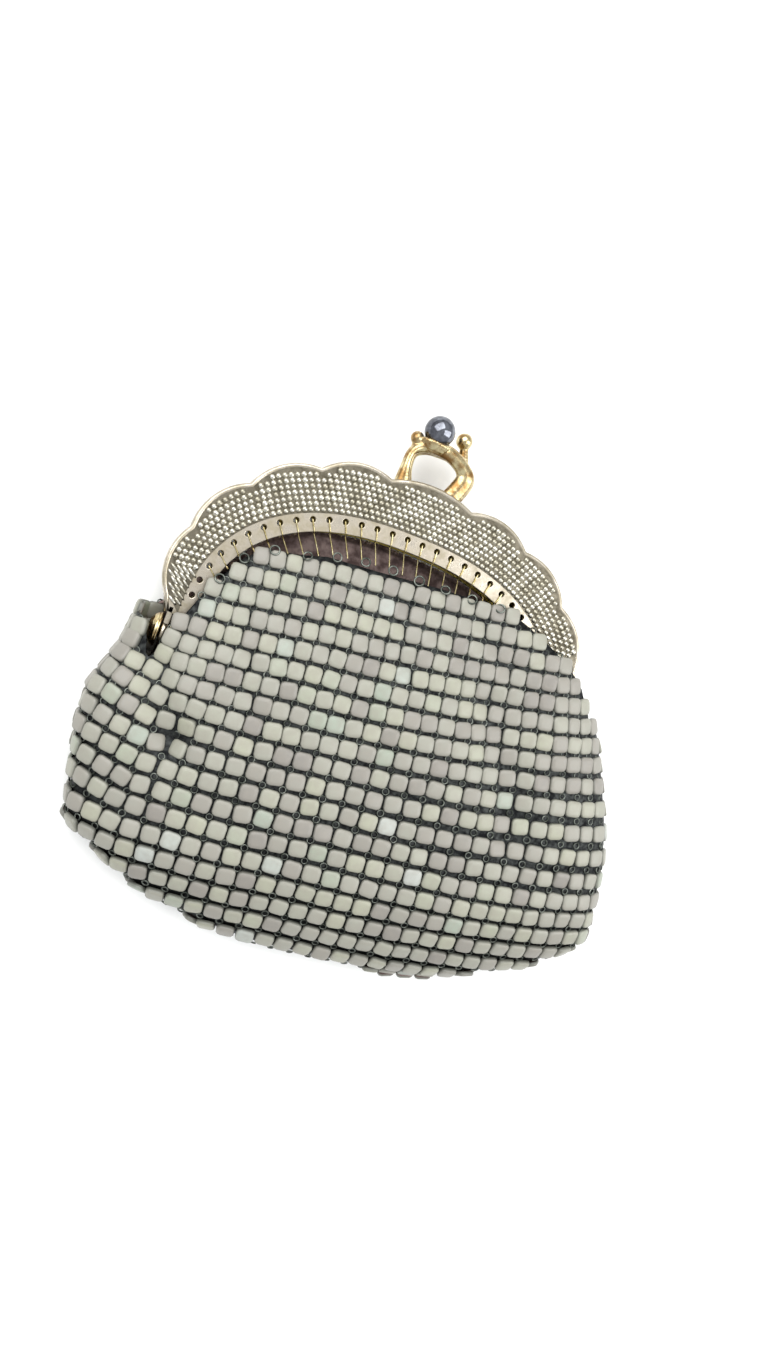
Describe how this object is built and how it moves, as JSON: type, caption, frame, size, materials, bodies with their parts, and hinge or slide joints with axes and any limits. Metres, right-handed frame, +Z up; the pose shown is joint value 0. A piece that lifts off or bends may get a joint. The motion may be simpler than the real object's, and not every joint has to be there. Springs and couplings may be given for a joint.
{
  "type": "metal mesh purse",
  "caption": "Small coin purse with a soft bag of linked enamelled metal plates sewn to a scalloped, hinged metal frame that shuts with a ball and bow clasp, lying closed on its back.",
  "frame": {"origin": "middle of the purse's bounding box, on the flat underside that it lies on", "axes": "+Z up out of the front of the lying purse, +Y from the bag's bottom to the clasp, +X along the hinge line to the purse's right as seen from above"},
  "size_m": [0.108, 0.1034, 0.017],
  "materials": {
    "frame_plate": "champagne gilt plating, stamped and lightly worn",
    "clasp_gold": "polished yellow gilding, darker in the hollows",
    "ball_silver": "dark polished silver",
    "mesh_enamel": "pale ivory and sage enamel on small domed plates, semi-gloss"
  },
  "bodies": {
    "root": {"front_frame": "frame_plate", "back_frame": "frame_plate", "left_hinge_rivet": "clasp_gold", "right_hinge_rivet": "clasp_gold", "front_clasp_bow": "clasp_gold", "back_clasp_bow": "clasp_gold", "clasp_ball": "ball_silver", "mesh_bag": "mesh_enamel"}
  },
  "joints": []
}
